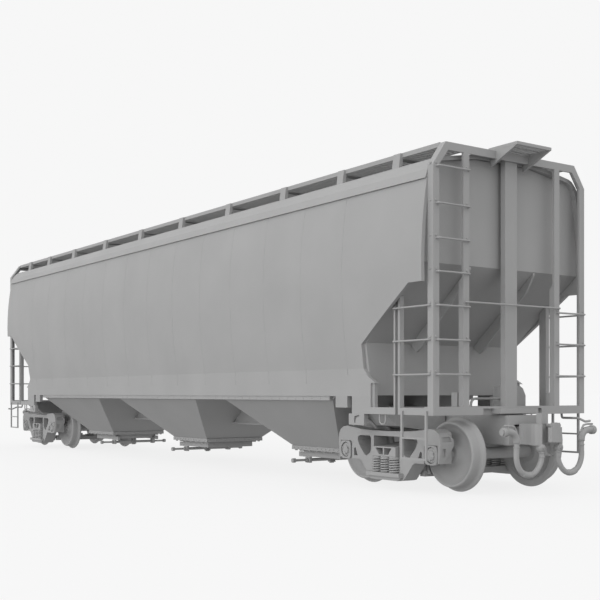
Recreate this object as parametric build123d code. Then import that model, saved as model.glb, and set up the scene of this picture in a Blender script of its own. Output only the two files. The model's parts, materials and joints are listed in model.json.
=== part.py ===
from build123d import *
import math
import os

# Covered hopper car, HO scale (1:87.1), millimetres.
# Origin on the plane the wheel flanges stand on, under the middle of the car.
# +X runs along the car, +Y across it, +Z up. The two ends match under a half turn about Z.

# Overall sizes
END_X = 87.03
SIDE_Y = 16.0
POST_DEPTH = 1.18
POST_SHEET = 0.35
POST_IN_Y = 15.63
SHEET = 0.6
FIT = 0.05

# Body sheets
SHEET_END_X = 85.85
ROOF_END_X = 85.8
END_SHEET_X = 85.0
BULGE_Y = 17.2
BULGE_Z = 33.0
SIDE_TOP = (16.03, 45.3)
SIDE_LOW = (16.0, 18.3)
SIDE_FOOT = (15.95, 16.05)
SIDE_CUT = [(85.85, 46.0), (85.85, 30.3), (83.0, 30.3), (71.5, 22.0), (71.4, 18.3),
            (72.5, 17.0), (74.2, 16.05)]

# Hoppers and outlets
BAYS = (-46.2, 0.0, 46.2)
BAY_NAMES = ("1", "2", "3")
GATE_WAY = (1, -1, -1)
RIDGE_X = 23.1
HOPPER_Z = 5.0
HOPPER_X = 7.2
HOPPER_Y = 6.8
SLOPE = 0.82
WALL_Y = 15.2
BULKHEAD_X = 72.0
KNEE_Z = 22.2
OUTLET = 5.5
OUTLET_IN = 4.8
OUTLET_Z = 3.05
FLANGE_Z = 4.3
GATE_Z = 3.25
GATE_THICK = 0.4
SHAFT_X = 4.4
SHAFT_Z = 2.41
SHAFT_R = 0.3
KNOB_Y = 8.55
PINION_R = 0.64
PINION_TEETH = 8

# Under frame
SILL_Z0 = 8.2
SILL_Z1 = 12.4
SILL_Y = 2.7
SILL_X = 81.5
BAND_X = 73.1
BAND_Z0 = 14.08
BAND_Z1 = 16.05
END_SILL_Z0 = 11.37
END_SILL_Z1 = 12.6
END_SILL_X0 = 85.2

# Roof
ROOF_Y = 5.6
ROOF_OUTSIDE = [(ROOF_Y, 49.6), (12.4, 48.45), (13.8, 48.2), (14.5, 47.9), (15.3, 47.15), (15.95, 46.2)]
ROOF_INSIDE = [(14.9, 46.6), (14.2, 47.3), (13.6, 47.6), (12.35, 47.85)]
HATCH_HALF = 20.6
COAMING_Z0 = 49.0
COAMING_Z1 = 50.4
HINGE_AT = (-14, 0, 14)
HINGE_Y = 6.55
HINGE_Z = 50.75
HINGE_PIN_R = 0.22
BOARD_Y0 = 8.6
BOARD_Y1 = 13.6
BOARD_Z0 = 49.6
BOARD_Z1 = 50.27
BRACKETS_X = (9.3, 27.9, 46.5, 63.0, 76.8)
BRACKET_WIDE = 1.6

# Ladders
LADDER_ROWS = (46.5, 41.25, 36.35, 31.65, 26.9, 22.07, 17.19)
SHORT_LADDER = 4
RUNG_D = 0.28
RUNG_X = 87.5
SIDE_RUNG_Y = 16.35
STILE_X0 = 78.45
STILE_X1 = 79.85

# Trucks
TRUCK_X = 73.22
AXLE_DX = 10.095
AXLE_Z = 5.534
FLANGE_R = 5.534
TREAD_R = 4.95
WHEEL_Y0 = 7.2
WHEEL_Y1 = 9.4
AXLE_R = 0.93
JOURNAL_R = 0.7
BEARING_R = 1.3
FRAME_Y0 = 10.4
FRAME_Y1 = 13.0
BOLSTER_X = 2.9
SPRING_Z0 = 2.5
SPRING_Z1 = 4.95
SPRING_R = 1.0
KINGPIN_R = 0.6
BOWL_Z = 7.7

# Couplers
COUPLER_X = 84.0
STRIKER_X = 89.3
HEAD_Z0 = 7.1
HEAD_Z1 = 10.1
KNUCKLE_AT = (93.55, 1.8)
HOSE_X = 94.07
HOSE_R = 0.375
LEVER_X = 84.7
LEVER_Z = 11.9
LEVER_LOW_Z = 10.65
LEVER_D = 0.36


# ---------------------------------------------------------------- helpers

def block(x0, x1, y0, y1, z0, z1):
    """Rectangular block between two corners."""
    size = (x1 - x0, y1 - y0, z1 - z0)
    return Pos(x0 + size[0] / 2, y0 + size[1] / 2, z0 + size[2] / 2) * Box(*size)


def prism(points, along):
    """Flat outline pushed along a vector."""
    outline = Face(Wire.make_polygon([Vector(*p) for p in points], close=True))
    return Solid.extrude(outline, Vector(*along))


def prism_x(outline, x0, x1):
    """(y, z) outline from x0 to x1."""
    return prism([(x0, y, z) for y, z in outline], (x1 - x0, 0, 0))


def prism_y(outline, y0, y1):
    """(x, z) outline from y0 to y1."""
    return prism([(x, y0, z) for x, z in outline], (0, y1 - y0, 0))


def prism_z(outline, z0, z1):
    """(x, y) outline from z0 to z1."""
    return prism([(x, y, z0) for x, y in outline], (0, 0, z1 - z0))


def rod(start, end, diameter):
    """Round rod between two points."""
    axis = Vector(*end) - Vector(*start)
    return Solid.make_cylinder(diameter / 2, axis.length, Plane(origin=start, z_dir=axis))


def bent_rod(points, diameter, radius):
    """Round rod along a path with bent corners."""
    path = FilletPolyline(*points, radius=radius)
    section = Plane(origin=path @ 0, z_dir=path % 0) * Circle(diameter / 2)
    return sweep(section, path=path)


def turned(profile, centre):
    """Solid turned about an axis along Y through centre; profile is (y, r)."""
    points = [(centre[0] + r, centre[1] + y, centre[2]) for y, r in profile]
    outline = Face(Wire.make_polygon([Vector(*p) for p in points], close=True))
    return revolve(outline, Axis(centre, (0, 1, 0)), 360)


def half_turn(pieces):
    """The pieces at one end and their match at the other."""
    return pieces + [Rot(0, 0, 180) * piece for piece in pieces]


def both_sides(pieces):
    """The pieces on +Y and their mirror image on -Y."""
    return pieces + [mirror(piece, about=Plane.XZ) for piece in pieces]


def fused(pieces):
    """Pieces welded into one solid."""
    whole = pieces[0]
    for piece in pieces[1:]:
        whole = whole + piece
    return whole


def solids_of(shape):
    """Flat list of the solids in a shape or list of shapes."""
    if isinstance(shape, (list, tuple)):
        return [solid for item in shape for solid in solids_of(item)]
    return list(shape.solids())


def save(name, pieces):
    """Write one node as a group of its separate solids."""
    group = Compound(label=name, children=solids_of(pieces))
    export_step(group, "parts/" + name + ".step")


# ---------------------------------------------------------------- body sheets

def side_curve(shift):
    """Edges of the side's bulged line in the YZ plane, moved in by shift."""
    foot = (SIDE_FOOT[0] - shift, SIDE_FOOT[1])
    low = (SIDE_LOW[0] - shift, SIDE_LOW[1])
    belly = (BULGE_Y - shift, BULGE_Z)
    top = (SIDE_TOP[0] - shift, SIDE_TOP[1])
    return [Line(foot, low), TangentArc(belly, low, tangent=(0, -1)),
            TangentArc(belly, top, tangent=(0, 1))]


def side_sheets():
    """Bulged side plates with their ends cut to follow the slope sheets."""
    outer = side_curve(0)
    inner = side_curve(SHEET)
    low_edge = Line((SIDE_FOOT[0] - SHEET, SIDE_FOOT[1]), SIDE_FOOT)
    top_edge = Line(SIDE_TOP, (SIDE_TOP[0] - SHEET, SIDE_TOP[1]))
    section = make_face(outer + inner + [low_edge, top_edge])
    slab = extrude(Plane.YZ.offset(-SHEET_END_X) * section, amount=2 * SHEET_END_X)
    outline = SIDE_CUT + [(-x, z) for x, z in reversed(SIDE_CUT)]
    return both_sides([slab & prism_y(outline, 14, 18)])


def inner_space(x0, x1):
    """Solid filling the space between the side sheets and under the roof."""
    edges = side_curve(SHEET)
    top = (SIDE_TOP[0] - SHEET, SIDE_TOP[1])
    foot = (SIDE_FOOT[0] - SHEET, SIDE_FOOT[1])
    crown = Polyline(top, *ROOF_INSIDE, (ROOF_Y, 48.9), (0, 48.9))
    close = Polyline((0, 48.9), (0, 13), (WALL_Y, 13), (WALL_Y, foot[1]), foot)
    half = make_face(edges + [crown, close])
    half_solid = extrude(Plane.YZ.offset(x0) * half, amount=x1 - x0)
    return half_solid + mirror(half_solid, about=Plane.XZ)


def roof_sheets():
    """Roof panels with a sloped eave and fascia, and the strips between the hatches."""
    panel = [*ROOF_OUTSIDE, (16.4, 44.9), (16.15, 44.9), (16.1, SIDE_TOP[1]), (15.5, SIDE_TOP[1]),
             *ROOF_INSIDE, (ROOF_Y, COAMING_Z0)]
    pieces = both_sides([prism_x(panel, -ROOF_END_X, ROOF_END_X)])
    edges = [-ROOF_END_X]
    for bay in BAYS:
        edges = edges + [bay - HATCH_HALF, bay + HATCH_HALF]
    edges = edges + [ROOF_END_X]
    for start, end in zip(edges[::2], edges[1::2]):
        pieces.append(block(start, end, -ROOF_Y, ROOF_Y, COAMING_Z0, 49.6))
    return pieces


def end_sheets():
    """Upright sheets closing the top of each end."""
    outline = [(84.4, 32.69), (END_SHEET_X, 33.2), (END_SHEET_X, 49.5), (84.4, 49.5)]
    return half_turn([prism_y(outline, -18, 18) & inner_space(80, 86)])


def end_slope_sheets():
    """Slope sheets from the end sheet down to the knee over the truck."""
    outline = [(BULKHEAD_X, KNEE_Z), (84.4, 32.69), (84.4, 33.48), (71.4, 22.48), (71.4, KNEE_Z)]
    return half_turn([prism_y(outline, -18, 18) & inner_space(70, 86)])


def slope_stiffeners():
    """Rib plates along the underside of each end slope."""
    outline = [(72.1, 22.26), (84.9, 33.09), (84.9, 32.7), (83.4, 30.1), (74.2, 21.5), (73.3, 20.95), (72.1, 21.9)]
    return half_turn(both_sides([prism_y(outline, 6.6, 7.0)]))


def bulkheads():
    """Upright plates over the body bolsters and the two partitions between the bays."""
    end = block(71.4, BULKHEAD_X, -18, 18, 14.2, KNEE_Z) & inner_space(70, 73)
    wall = block(RIDGE_X - 0.3, RIDGE_X + 0.3, -18, 18, 18.82, 47) & inner_space(20, 26)
    return half_turn([end, wall])


# ---------------------------------------------------------------- hoppers and outlets

def sill_outline():
    """Centre sill section with its bottom flange."""
    return [(-3.1, SILL_Z0), (3.1, SILL_Z0), (3.1, SILL_Z0 + 0.4), (SILL_Y, SILL_Z0 + 0.4),
            (SILL_Y, SILL_Z1), (-SILL_Y, SILL_Z1), (-SILL_Y, SILL_Z0 + 0.4),
            (-3.1, SILL_Z0 + 0.4)]


def slope_plate(start, end, thick):
    """(x, z) outline of a plate sloping from start up to end."""
    run = (end[0] - start[0]) / (end[1] - start[1])
    return [start, end, (end[0], end[1] + thick), (start[0] - thick * run, start[1])]


def hopper_sheets(bay):
    """Four sloping sheets of one hopper, cut round the centre sill."""
    ridge_z = HOPPER_Z + (RIDGE_X - HOPPER_X) * SLOPE
    rise = SHEET * math.hypot(1, SLOPE)
    knee = (71.4, 21.645)
    ends = []
    for side in (-1, 1):
        start = (side * HOPPER_X, HOPPER_Z)
        end = (side * RIDGE_X, ridge_z)
        thick = rise
        if side * bay > 0:
            end = (knee[0] * side - bay, knee[1])
            thick = 0.817
        ends.append(slope_plate(start, end, thick))
    width = [(-HOPPER_Y, HOPPER_Z), (HOPPER_Y, HOPPER_Z), (WALL_Y, 13.4), (WALL_Y, BAND_Z1),
             (15.38, 18.3), (15.88, 22), (15.88, 24), (-15.88, 24), (-15.88, 22),
             (-15.38, 18.3), (-WALL_Y, BAND_Z1), (-WALL_Y, 13.4)]
    low = -RIDGE_X if bay > 0 else -2 * RIDGE_X
    shell = prism_x(width, low, low + 3 * RIDGE_X)
    sill = prism_x(sill_outline(), -60, 60)
    pieces = [(prism_y(plate, -18, 18) & shell) - sill for plate in ends]
    left, right = ends
    inside = [left[3], right[3], right[2], (right[2][0], 26), (left[2][0], 26), left[2]]
    side = [(HOPPER_Y, HOPPER_Z), (WALL_Y, 13.4), (WALL_Y, 14.25), (HOPPER_Y - 0.85, HOPPER_Z)]
    flank = prism_x(side, -2 * RIDGE_X, 2 * RIDGE_X) & prism_y(inside, -18, 18)
    pieces = pieces + both_sides([flank])
    return [Pos(bay, 0, 0) * piece for piece in pieces]


def ring(half_x, half_y, in_x, in_y, z0, z1):
    """Rectangular frame as four bars butted together."""
    bars = both_sides([block(-half_x, half_x, in_y, half_y, z0, z1)])
    bars.append(block(in_x, half_x, -in_y, in_y, z0, z1))
    bars.append(block(-half_x, -in_x, -in_y, in_y, z0, z1))
    return bars


def outlet_frame(bay, way):
    """Bolting flange, outlet frame with a slot for the gate, guide rails and shaft bearings."""
    pieces = ring(7.4, 6.9, 6.2, 5.9, FLANGE_Z, HOPPER_Z)
    frame = both_sides([block(-OUTLET, OUTLET, OUTLET_IN, OUTLET, OUTLET_Z, FLANGE_Z)])
    frame.append(block(-OUTLET, -OUTLET_IN, -OUTLET_IN, OUTLET_IN, OUTLET_Z, FLANGE_Z))
    frame.append(block(OUTLET_IN, OUTLET, -OUTLET_IN, OUTLET_IN, GATE_Z + GATE_THICK + 0.05, FLANGE_Z))
    ledge = block(OUTLET, 6.2, -OUTLET_IN, OUTLET_IN, 4.0, FLANGE_Z)
    collar = both_sides([block(-6.3, 6.3, OUTLET, 5.95, 4.0, FLANGE_Z)])
    rail = both_sides([block(OUTLET, 7.1, 5.0, OUTLET, 2.95, 3.83)])
    lug = block(SHAFT_X - 0.7, SHAFT_X + 0.7, 5.0, OUTLET, 1.9, OUTLET_Z)
    hole = rod((SHAFT_X, 4, SHAFT_Z), (SHAFT_X, 7, SHAFT_Z), 2 * (SHAFT_R + FIT))
    pieces = pieces + frame + [ledge] + collar + rail + both_sides([lug - hole])
    bolts = []
    for step in range(-3, 4):
        bolts = bolts + both_sides([rod((step * 2.2, 6.45, 4.1), (step * 2.2, 6.45, FLANGE_Z), 0.5)])
    turn = 0 if way > 0 else 180
    return [Pos(bay, 0, 0) * Rot(0, 0, turn) * piece for piece in pieces + bolts]


def tooth(base, tip, root, height):
    """(across, up) outline of one gear tooth."""
    return [(-base / 2, root), (base / 2, root), (tip / 2, root + height), (-tip / 2, root + height)]


def gate(bay, way):
    """Sliding gate plate with a toothed rack under its middle."""
    plate = block(-OUTLET_IN + FIT, OUTLET_IN + 0.5, -OUTLET_IN + FIT, OUTLET_IN - FIT,
                  GATE_Z, GATE_Z + GATE_THICK)
    lip = block(OUTLET_IN + 0.75, OUTLET_IN + 1.1, -4.4, 4.4, GATE_Z, GATE_Z + 0.7)
    neck = block(OUTLET_IN + 0.5, OUTLET_IN + 0.75, -4.4, 4.4, GATE_Z, GATE_Z + GATE_THICK)
    pitch = 2 * math.pi * PINION_R / PINION_TEETH
    pieces = [plate, neck, lip]
    first = int((SHAFT_X - (OUTLET_IN + 0.4)) / pitch)
    last = int((SHAFT_X + OUTLET_IN - 0.6) / pitch)
    for step in range(first, last):
        at = SHAFT_X - (step + 0.5) * pitch
        shape = [(at + u, GATE_Z - w) for u, w in tooth(0.24, 0.08, 0, 0.28)]
        pieces.append(prism_y(shape, -0.5, 0.5))
    turn = 0 if way > 0 else 180
    return [Pos(bay, 0, 0) * Rot(0, 0, turn) * fused(pieces)]


def gate_shaft(bay, way):
    """Operating shaft with its pinion, collars and round end knobs."""
    at = (SHAFT_X, 0, SHAFT_Z)
    profile = [(-KNOB_Y - 0.3, 0), (-KNOB_Y - 0.3, 0.4), (-KNOB_Y + 0.3, 0.4), (-KNOB_Y + 0.3, 0.22),
               (-5.85, 0.22), (-5.85, 0.4), (-5.55, 0.4), (-5.55, SHAFT_R)]
    profile = profile + [(-y, r) for y, r in reversed(profile)]
    pieces = [turned(profile, at)]
    for step in range(PINION_TEETH):
        shape = [(u, w) for u, w in tooth(0.26, 0.08, SHAFT_R - 0.03, 0.47)]
        cog = prism_y(shape, -0.5, 0.5)
        pieces.append(Pos(*at) * Rot(0, step * 360 / PINION_TEETH, 0) * cog)
    turn = 0 if way > 0 else 180
    return [Pos(bay, 0, 0) * Rot(0, 0, turn) * fused(pieces)]


# ---------------------------------------------------------------- roof details

def hatch_coamings():
    """Upright rims round the three long hatch openings."""
    pieces = []
    for bay in BAYS:
        rim = ring(HATCH_HALF, ROOF_Y, HATCH_HALF - SHEET, ROOF_Y - SHEET, COAMING_Z0, COAMING_Z1)
        pieces = pieces + [Pos(bay, 0, 0) * bar for bar in rim]
    return pieces


def hatch_hinge_pins():
    """Hinge lugs on the roof with their pins."""
    pieces = []
    for bay in BAYS:
        for at in HINGE_AT:
            x = bay + at
            lugs = [block(x + near, x + near + 0.5, 6.1, 7.0, 49.3, 51.1) for near in (-1.3, 0.8)]
            pin = rod((x - 1.0, HINGE_Y, HINGE_Z), (x + 1.0, HINGE_Y, HINGE_Z), 2 * HINGE_PIN_R)
            roof_slope = prism_x([*ROOF_OUTSIDE[:2], (12.4, 47), (ROOF_Y, 47)], x - 2, x + 2)
            pieces.append(fused(lugs + [pin]) - roof_slope)
    return pieces


def hatch_cover(bay):
    """Hatch cover with a rim on three sides, cross ribs and hinge barrels."""
    lid = block(-HATCH_HALF - 0.5, HATCH_HALF + 0.5, -6.1, 5.75, 50.45, 50.95)
    pieces = [lid, block(-HATCH_HALF - 0.5, HATCH_HALF + 0.5, -6.1, -5.75, 49.9, 50.45)]
    for side in (-1, 1):
        x = side * (HATCH_HALF + 0.32)
        pieces.append(block(x - 0.18, x + 0.18, -6.1, 5.6, 49.9, 50.45))
    for step in range(-3, 4):
        pieces.append(block(step * 5.8 - 0.3, step * 5.8 + 0.3, -5.6, 5.4, 50.95, 51.2))
    for at in HINGE_AT:
        arm = block(at - 0.6, at + 0.6, 5.7, HINGE_Y, 50.5, 50.95)
        barrel = rod((at - 0.6, HINGE_Y, HINGE_Z), (at + 0.6, HINGE_Y, HINGE_Z), 0.84)
        hole = rod((at - 2, HINGE_Y, HINGE_Z), (at + 2, HINGE_Y, HINGE_Z), 2 * (HINGE_PIN_R + FIT))
        pieces.append((arm + barrel) - hole)
    return [Pos(bay, 0, 0) * fused(pieces)]


def running_boards():
    """Open walkways along both roof edges with their edge bars."""
    end = 85.7
    grate = block(-end, end, BOARD_Y0 + 0.35, BOARD_Y1 - 0.35, BOARD_Z0 + 0.2, BOARD_Z0 + 0.5)
    outer = block(-end, end, BOARD_Y1 - 0.35, BOARD_Y1, BOARD_Z0, BOARD_Z1)
    inner = block(-end, end, BOARD_Y0, BOARD_Y0 + 0.35, BOARD_Z0, BOARD_Z1)
    return both_sides([grate, outer, inner])


def running_board_brackets():
    """Brackets from the roof up to the walkways' outer bars, with an arm under each board."""
    outline = [(BOARD_Y1, 48.236), (13.8, 48.2), (14.25, 48.007), (13.95, 50.22), (BOARD_Y1, 50.22),
               (BOARD_Y1, BOARD_Z0), (8.7, BOARD_Z0), (8.7, 49.076), (9.1, 49.008), (9.1, 49.4),
               (13.4, 49.4)]
    pieces = []
    for x in BRACKETS_X:
        pieces.append(prism_x(outline, x - BRACKET_WIDE / 2, x + BRACKET_WIDE / 2))
    return half_turn(both_sides(pieces))


def end_platforms():
    """Roof end platforms with their side gussets."""
    z1 = 50.78
    z0 = 50.33
    plate = block(85.5, 91.2, -3.62, 3.62, z0, z1)
    outline = [(85.5, z0), (91.1, z0), (85.87, 48.0), (85.87, 49.0), (END_X, 49.0), (END_X, 50.14),
               (85.5, 50.14)]
    gusset = prism_y(outline, 3.2, 3.6)
    return half_turn([fused([plate] + both_sides([gusset]))])


# ---------------------------------------------------------------- end frame

def top_chords():
    """Top angle of each end frame with its sloping corners."""
    x0 = END_X - POST_DEPTH
    x1 = END_X - POST_SHEET
    beam = prism_x([(-13.6, 50.14), (13.6, 50.14), (13.15, 49.0), (-13.15, 49.0)], x1, END_X)
    lip = prism_x([(-13.6, 50.14), (13.6, 50.14), (13.466, 49.8), (-13.466, 49.8)], x0, x1)
    corner = prism_x([(13.15, 49.0), (13.6, 50.14), (SIDE_Y, 46.77), (14.86, 46.77)], x1, END_X)
    edge = prism_x([(13.466, 49.8), (13.6, 50.14), (SIDE_Y, 46.77), (POST_IN_Y, 46.77)], x0, x1)
    return half_turn([beam + lip] + both_sides([corner + edge]))


def corner_posts():
    """Corner angles between the end sills and the top angles."""
    face = block(END_X - POST_SHEET, END_X, 14.86, SIDE_Y, END_SILL_Z1, 46.77)
    side = block(END_X - POST_DEPTH, END_X - POST_SHEET, POST_IN_Y, SIDE_Y, END_SILL_Z1, 46.77)
    return half_turn(both_sides([face + side]))


def end_posts():
    """Ladder posts and centre posts of both ends."""
    outline = [(86.65, 49.0), (END_X, 49.0), (END_X, END_SILL_Z1), (86.05, END_SILL_Z1),
               (86.05, 30.6), (86.65, 31.2)]
    stile = prism_y(outline, 9.04, 10.2)
    foot = block(84.55, 85.75, 9.9, 10.2, END_SILL_Z1, 14.65)
    centre = block(85.67, 86.6, -1.25, 1.25, END_SILL_Z1, 49.0) + block(85.85, 86.6, -1.25, 1.25, 49.0, 49.8)
    return half_turn(both_sides([stile, foot]) + [centre])


def grab(start, end, out, diameter):
    """Grab iron: a bar held off its posts by two stubs."""
    move = Vector(*out)
    a = Vector(*start)
    b = Vector(*end)
    points = [a, a + move, b + move, b]
    return bent_rod([tuple(p) for p in points], diameter, 0.25)


def end_ladder_rungs():
    """Rungs of the full and short end ladders and the bar across each end."""
    pieces = []
    out = (RUNG_X - END_X, 0, 0)
    for z in LADDER_ROWS:
        pieces.append(grab((END_X, -15.4, z), (END_X, -9.25, z), out, RUNG_D))
    for z in LADDER_ROWS[SHORT_LADDER:]:
        pieces.append(grab((END_X, 9.6, z), (END_X, 15.7, z), out, RUNG_D))
    pieces.append(grab((END_X, -9.8, 27.6), (END_X, 9.9, 27.6), out, RUNG_D))
    return half_turn(pieces)


def side_ladders():
    """Short ladders beside the corner posts: one channel upright and three rungs each."""
    outline = [(STILE_X0, 11.4), (STILE_X1, 11.4), (STILE_X1, 28.75), (STILE_X0, 27.6)]
    hollow = block(STILE_X0 + 0.35, STILE_X1 - 0.45, WALL_Y + 0.2, SIDE_Y + 0.1, 11, 30)
    pieces = [prism_y(outline, WALL_Y, SIDE_Y) - hollow]
    out = (0, SIDE_RUNG_Y - SIDE_Y, 0)
    for z in LADDER_ROWS[SHORT_LADDER:]:
        pieces.append(grab((STILE_X0 + 0.2, SIDE_Y, z), (86.4, SIDE_Y, z), out, RUNG_D))
    return half_turn(both_sides(pieces))


def sill_steps():
    """Steps hung below the sill under the side ladders."""
    y0 = SIDE_Y
    y1 = SIDE_Y + 0.3
    frame = block(80.35, 85.9, y0, y1, 5.0, 12.0) - block(80.7, 85.55, y0 - 1, y1 + 1, 5.28, 13)
    tread = block(80.7, 85.55, y0, y1, 7.95, 8.2)
    return half_turn(both_sides([frame + tread]))


# ---------------------------------------------------------------- under frame

def center_sill():
    """Centre sill through the hoppers, ending in the draft boxes."""
    return [prism_x(sill_outline(), -SILL_X, SILL_X)]


def side_sills():
    """Side sill bands and the narrower ledges below them."""
    band = block(-BAND_X, BAND_X, WALL_Y, SIDE_FOOT[0] + 0.05, BAND_Z0, BAND_Z1)
    ledge = block(-62.5, 62.5, WALL_Y, 15.85, 13.4, BAND_Z0)
    return both_sides([band, ledge])


def end_sills():
    """End sills with their buffer blocks and top lips."""
    bars = both_sides([block(END_SILL_X0, END_X, 6.2, SIDE_Y, END_SILL_Z0, END_SILL_Z1)])
    bars.append(block(END_SILL_X0, END_X - 0.6, -6.2, 6.2, END_SILL_Z0, 12.3))
    bars.append(block(END_SILL_X0, END_X, -6.2, 6.2, 12.3, END_SILL_Z1))
    bars.append(block(END_X - 0.6, 88.3, -4.0, 4.0, 11.55, 12.3))
    return half_turn([fused(bars)])


def sill_extensions():
    """Side bars from the bolsters out to the end sills, in two lengths beside the ladder uprights."""
    inner = block(BAND_X, STILE_X0, WALL_Y, SIDE_Y, 11.4, 12.42)
    outer = block(STILE_X1, END_SILL_X0, WALL_Y, SIDE_Y, 11.4, 12.42)
    return half_turn(both_sides([inner, outer]))


def body_bolsters():
    """Cross members over the trucks with their end plates."""
    arm = [(3.1, 8.3), (13.0, 9.6), (WALL_Y, 11.6), (WALL_Y, SILL_Z1), (3.1, SILL_Z1)]
    cross = prism_x(arm, 70.8, 75.6)
    plate = block(68.5, BAND_X, WALL_Y, SIDE_Y, 11.4, BAND_Z0)
    web = block(BAND_X, 73.7, WALL_Y - 0.1, WALL_Y + 0.5, 12.42, BAND_Z1)
    tab = block(64.3, 67.3, WALL_Y, SIDE_Y, 12.3, BAND_Z0)
    side_bearing = block(72.2, 74.2, 5.8, 7.2, 8.75, 9.2) - cross
    return half_turn(both_sides([cross, plate, web, tab, side_bearing]))


def jacking_pads():
    """Jacking pads with hook-shaped tow slots, and rope loops beside them."""
    pad = block(67.7, 71.5, WALL_Y, SIDE_Y, 9.67, 11.4)
    slot = [(69.0, 10.0), (69.35, 10.0), (69.5, 10.7), (70.4, 11.0), (70.2, 11.2), (69.1, 11.0)]
    pad = pad - prism_y(slot, SIDE_Y - 0.35, SIDE_Y + 1)
    route = [(74.9, 15.7, 11.4), (74.9, 15.7, 9.9), (76.3, 15.7, 9.9), (76.3, 15.7, 11.4)]
    loop = bent_rod(route, 0.25, 0.65)
    return half_turn(both_sides([pad, loop]))


def kingpins():
    """Centre plates with the pins that hold the trucks."""
    plate = rod((TRUCK_X, 0, BOWL_Z + FIT), (TRUCK_X, 0, SILL_Z0), 4.0)
    pin = rod((TRUCK_X, 0, 5.2), (TRUCK_X, 0, SILL_Z0), 2 * KINGPIN_R)
    return half_turn([plate + pin])


def draft_boxes():
    """Coupler pockets: top, bottom, sides, back and the pivot pin."""
    walls = both_sides([block(SILL_X, STRIKER_X, 2.2, 2.7, 6.95, 11.3)])
    top = block(SILL_X, STRIKER_X, -2.2, 2.2, 9.95, 11.3)
    floor = block(SILL_X, STRIKER_X, -2.2, 2.2, 6.95, 7.35)
    back = block(SILL_X, SILL_X + 0.4, -2.2, 2.2, 7.35, 9.95)
    pin = rod((COUPLER_X, 0, 7.35), (COUPLER_X, 0, 9.95), 1.2)
    striker = both_sides([block(88.6, STRIKER_X, 2.7, 3.3, 6.95, 11.3)])
    return half_turn([fused(walls + [top, floor, back, pin] + striker)])


def lever_brackets():
    """Brackets behind the end sill that carry the uncoupling lever."""
    pieces = []
    for y in (5.2, 12.4):
        arm = block(LEVER_X - 0.4, END_SILL_X0, y - 0.25, y + 0.25, LEVER_Z - 0.4, LEVER_Z + 0.4)
        hole = rod((LEVER_X, y - 1, LEVER_Z), (LEVER_X, y + 1, LEVER_Z), LEVER_D + 2 * FIT)
        pieces.append(arm - hole)
    return half_turn(pieces)


def brake_valve():
    """Brake control valve on its shelf with the pipe over the centre sill."""
    shelf = block(77.6, 81.4, SILL_Y, 9.4, 12.0, SILL_Z1)
    outline = [(5.0, SILL_Z1), (9.2, SILL_Z1), (9.2, 14.2), (8.6, 15.3), (7.9, 15.7), (5.0, 15.7)]
    body = prism_x(outline, 78, 81)
    pipe = bent_rod([(80, -1.9, SILL_Z1), (80, -1.7, 13.7), (80, 5.0, 13.7)], 0.4, 0.9)
    return [shelf, body, pipe]


# ---------------------------------------------------------------- couplers

def coupler():
    """Coupler shank and head with the lugs that hold the knuckle."""
    eye = rod((COUPLER_X, 0, 7.6), (COUPLER_X, 0, 9.7), 2.6)
    shank = block(COUPLER_X, 89.6, -1.2, 1.2, 7.6, 9.7)
    hole = rod((COUPLER_X, 0, 7), (COUPLER_X, 0, 10), 1.2 + 2 * FIT)
    face = [(89.6, -1.5), (90.4, -1.55), (91.2, -1.75), (92.0, -2.1), (92.8, -2.45), (93.6, -2.6),
            (94.2, -2.5), (94.45, -2.1), (93.9, -1.3), (92.9, -0.7), (92.5, 0.4), (92.5, 2.5),
            (91.9, 2.4), (91.2, 1.8), (90.4, 1.55), (89.6, 1.5)]
    head = prism_z(face, HEAD_Z0, HEAD_Z1)
    ear = [(92.3, 0.9), (93.4, 1.0), (94.2, 1.5), (94.2, 2.2), (93.6, 2.5), (92.3, 2.5)]
    ears = [prism_z(ear, HEAD_Z0, 7.5), prism_z(ear, 9.7, HEAD_Z1)]
    pin = rod((*KNUCKLE_AT, HEAD_Z0), (*KNUCKLE_AT, 10.3), 0.5)
    lifter = block(91.6, 92.6, -0.1, 1.3, HEAD_Z1, 11.7)
    lug = block(92.35, 92.85, 0.9, 1.5, 5.5, HEAD_Z0) + block(92.85, 93.3, 0.9, 1.5, 5.5, 5.8)
    return [fused([(eye + shank) - hole, head] + ears + [pin, lifter, lug])]


def knuckle():
    """Swinging knuckle on its pin."""
    shape = [(93.0, 1.45), (93.3, 1.1), (93.9, 0.95), (94.15, 0.3), (94.1, -0.5), (94.5, -0.8),
             (94.9, -0.5), (94.95, 0.8), (94.6, 2.0), (94.0, 2.4), (93.3, 2.35), (93.0, 2.1)]
    hole = rod((*KNUCKLE_AT, 7), (*KNUCKLE_AT, 11), 0.6)
    nose = [(94.35, -0.15), (94.9, -0.15), (94.95, 0.8), (94.8, 1.35), (94.35, 1.35)]
    return [prism_z(shape, 7.55, 9.65) - hole + prism_z(nose, 7.5, 10.3)]


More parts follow.
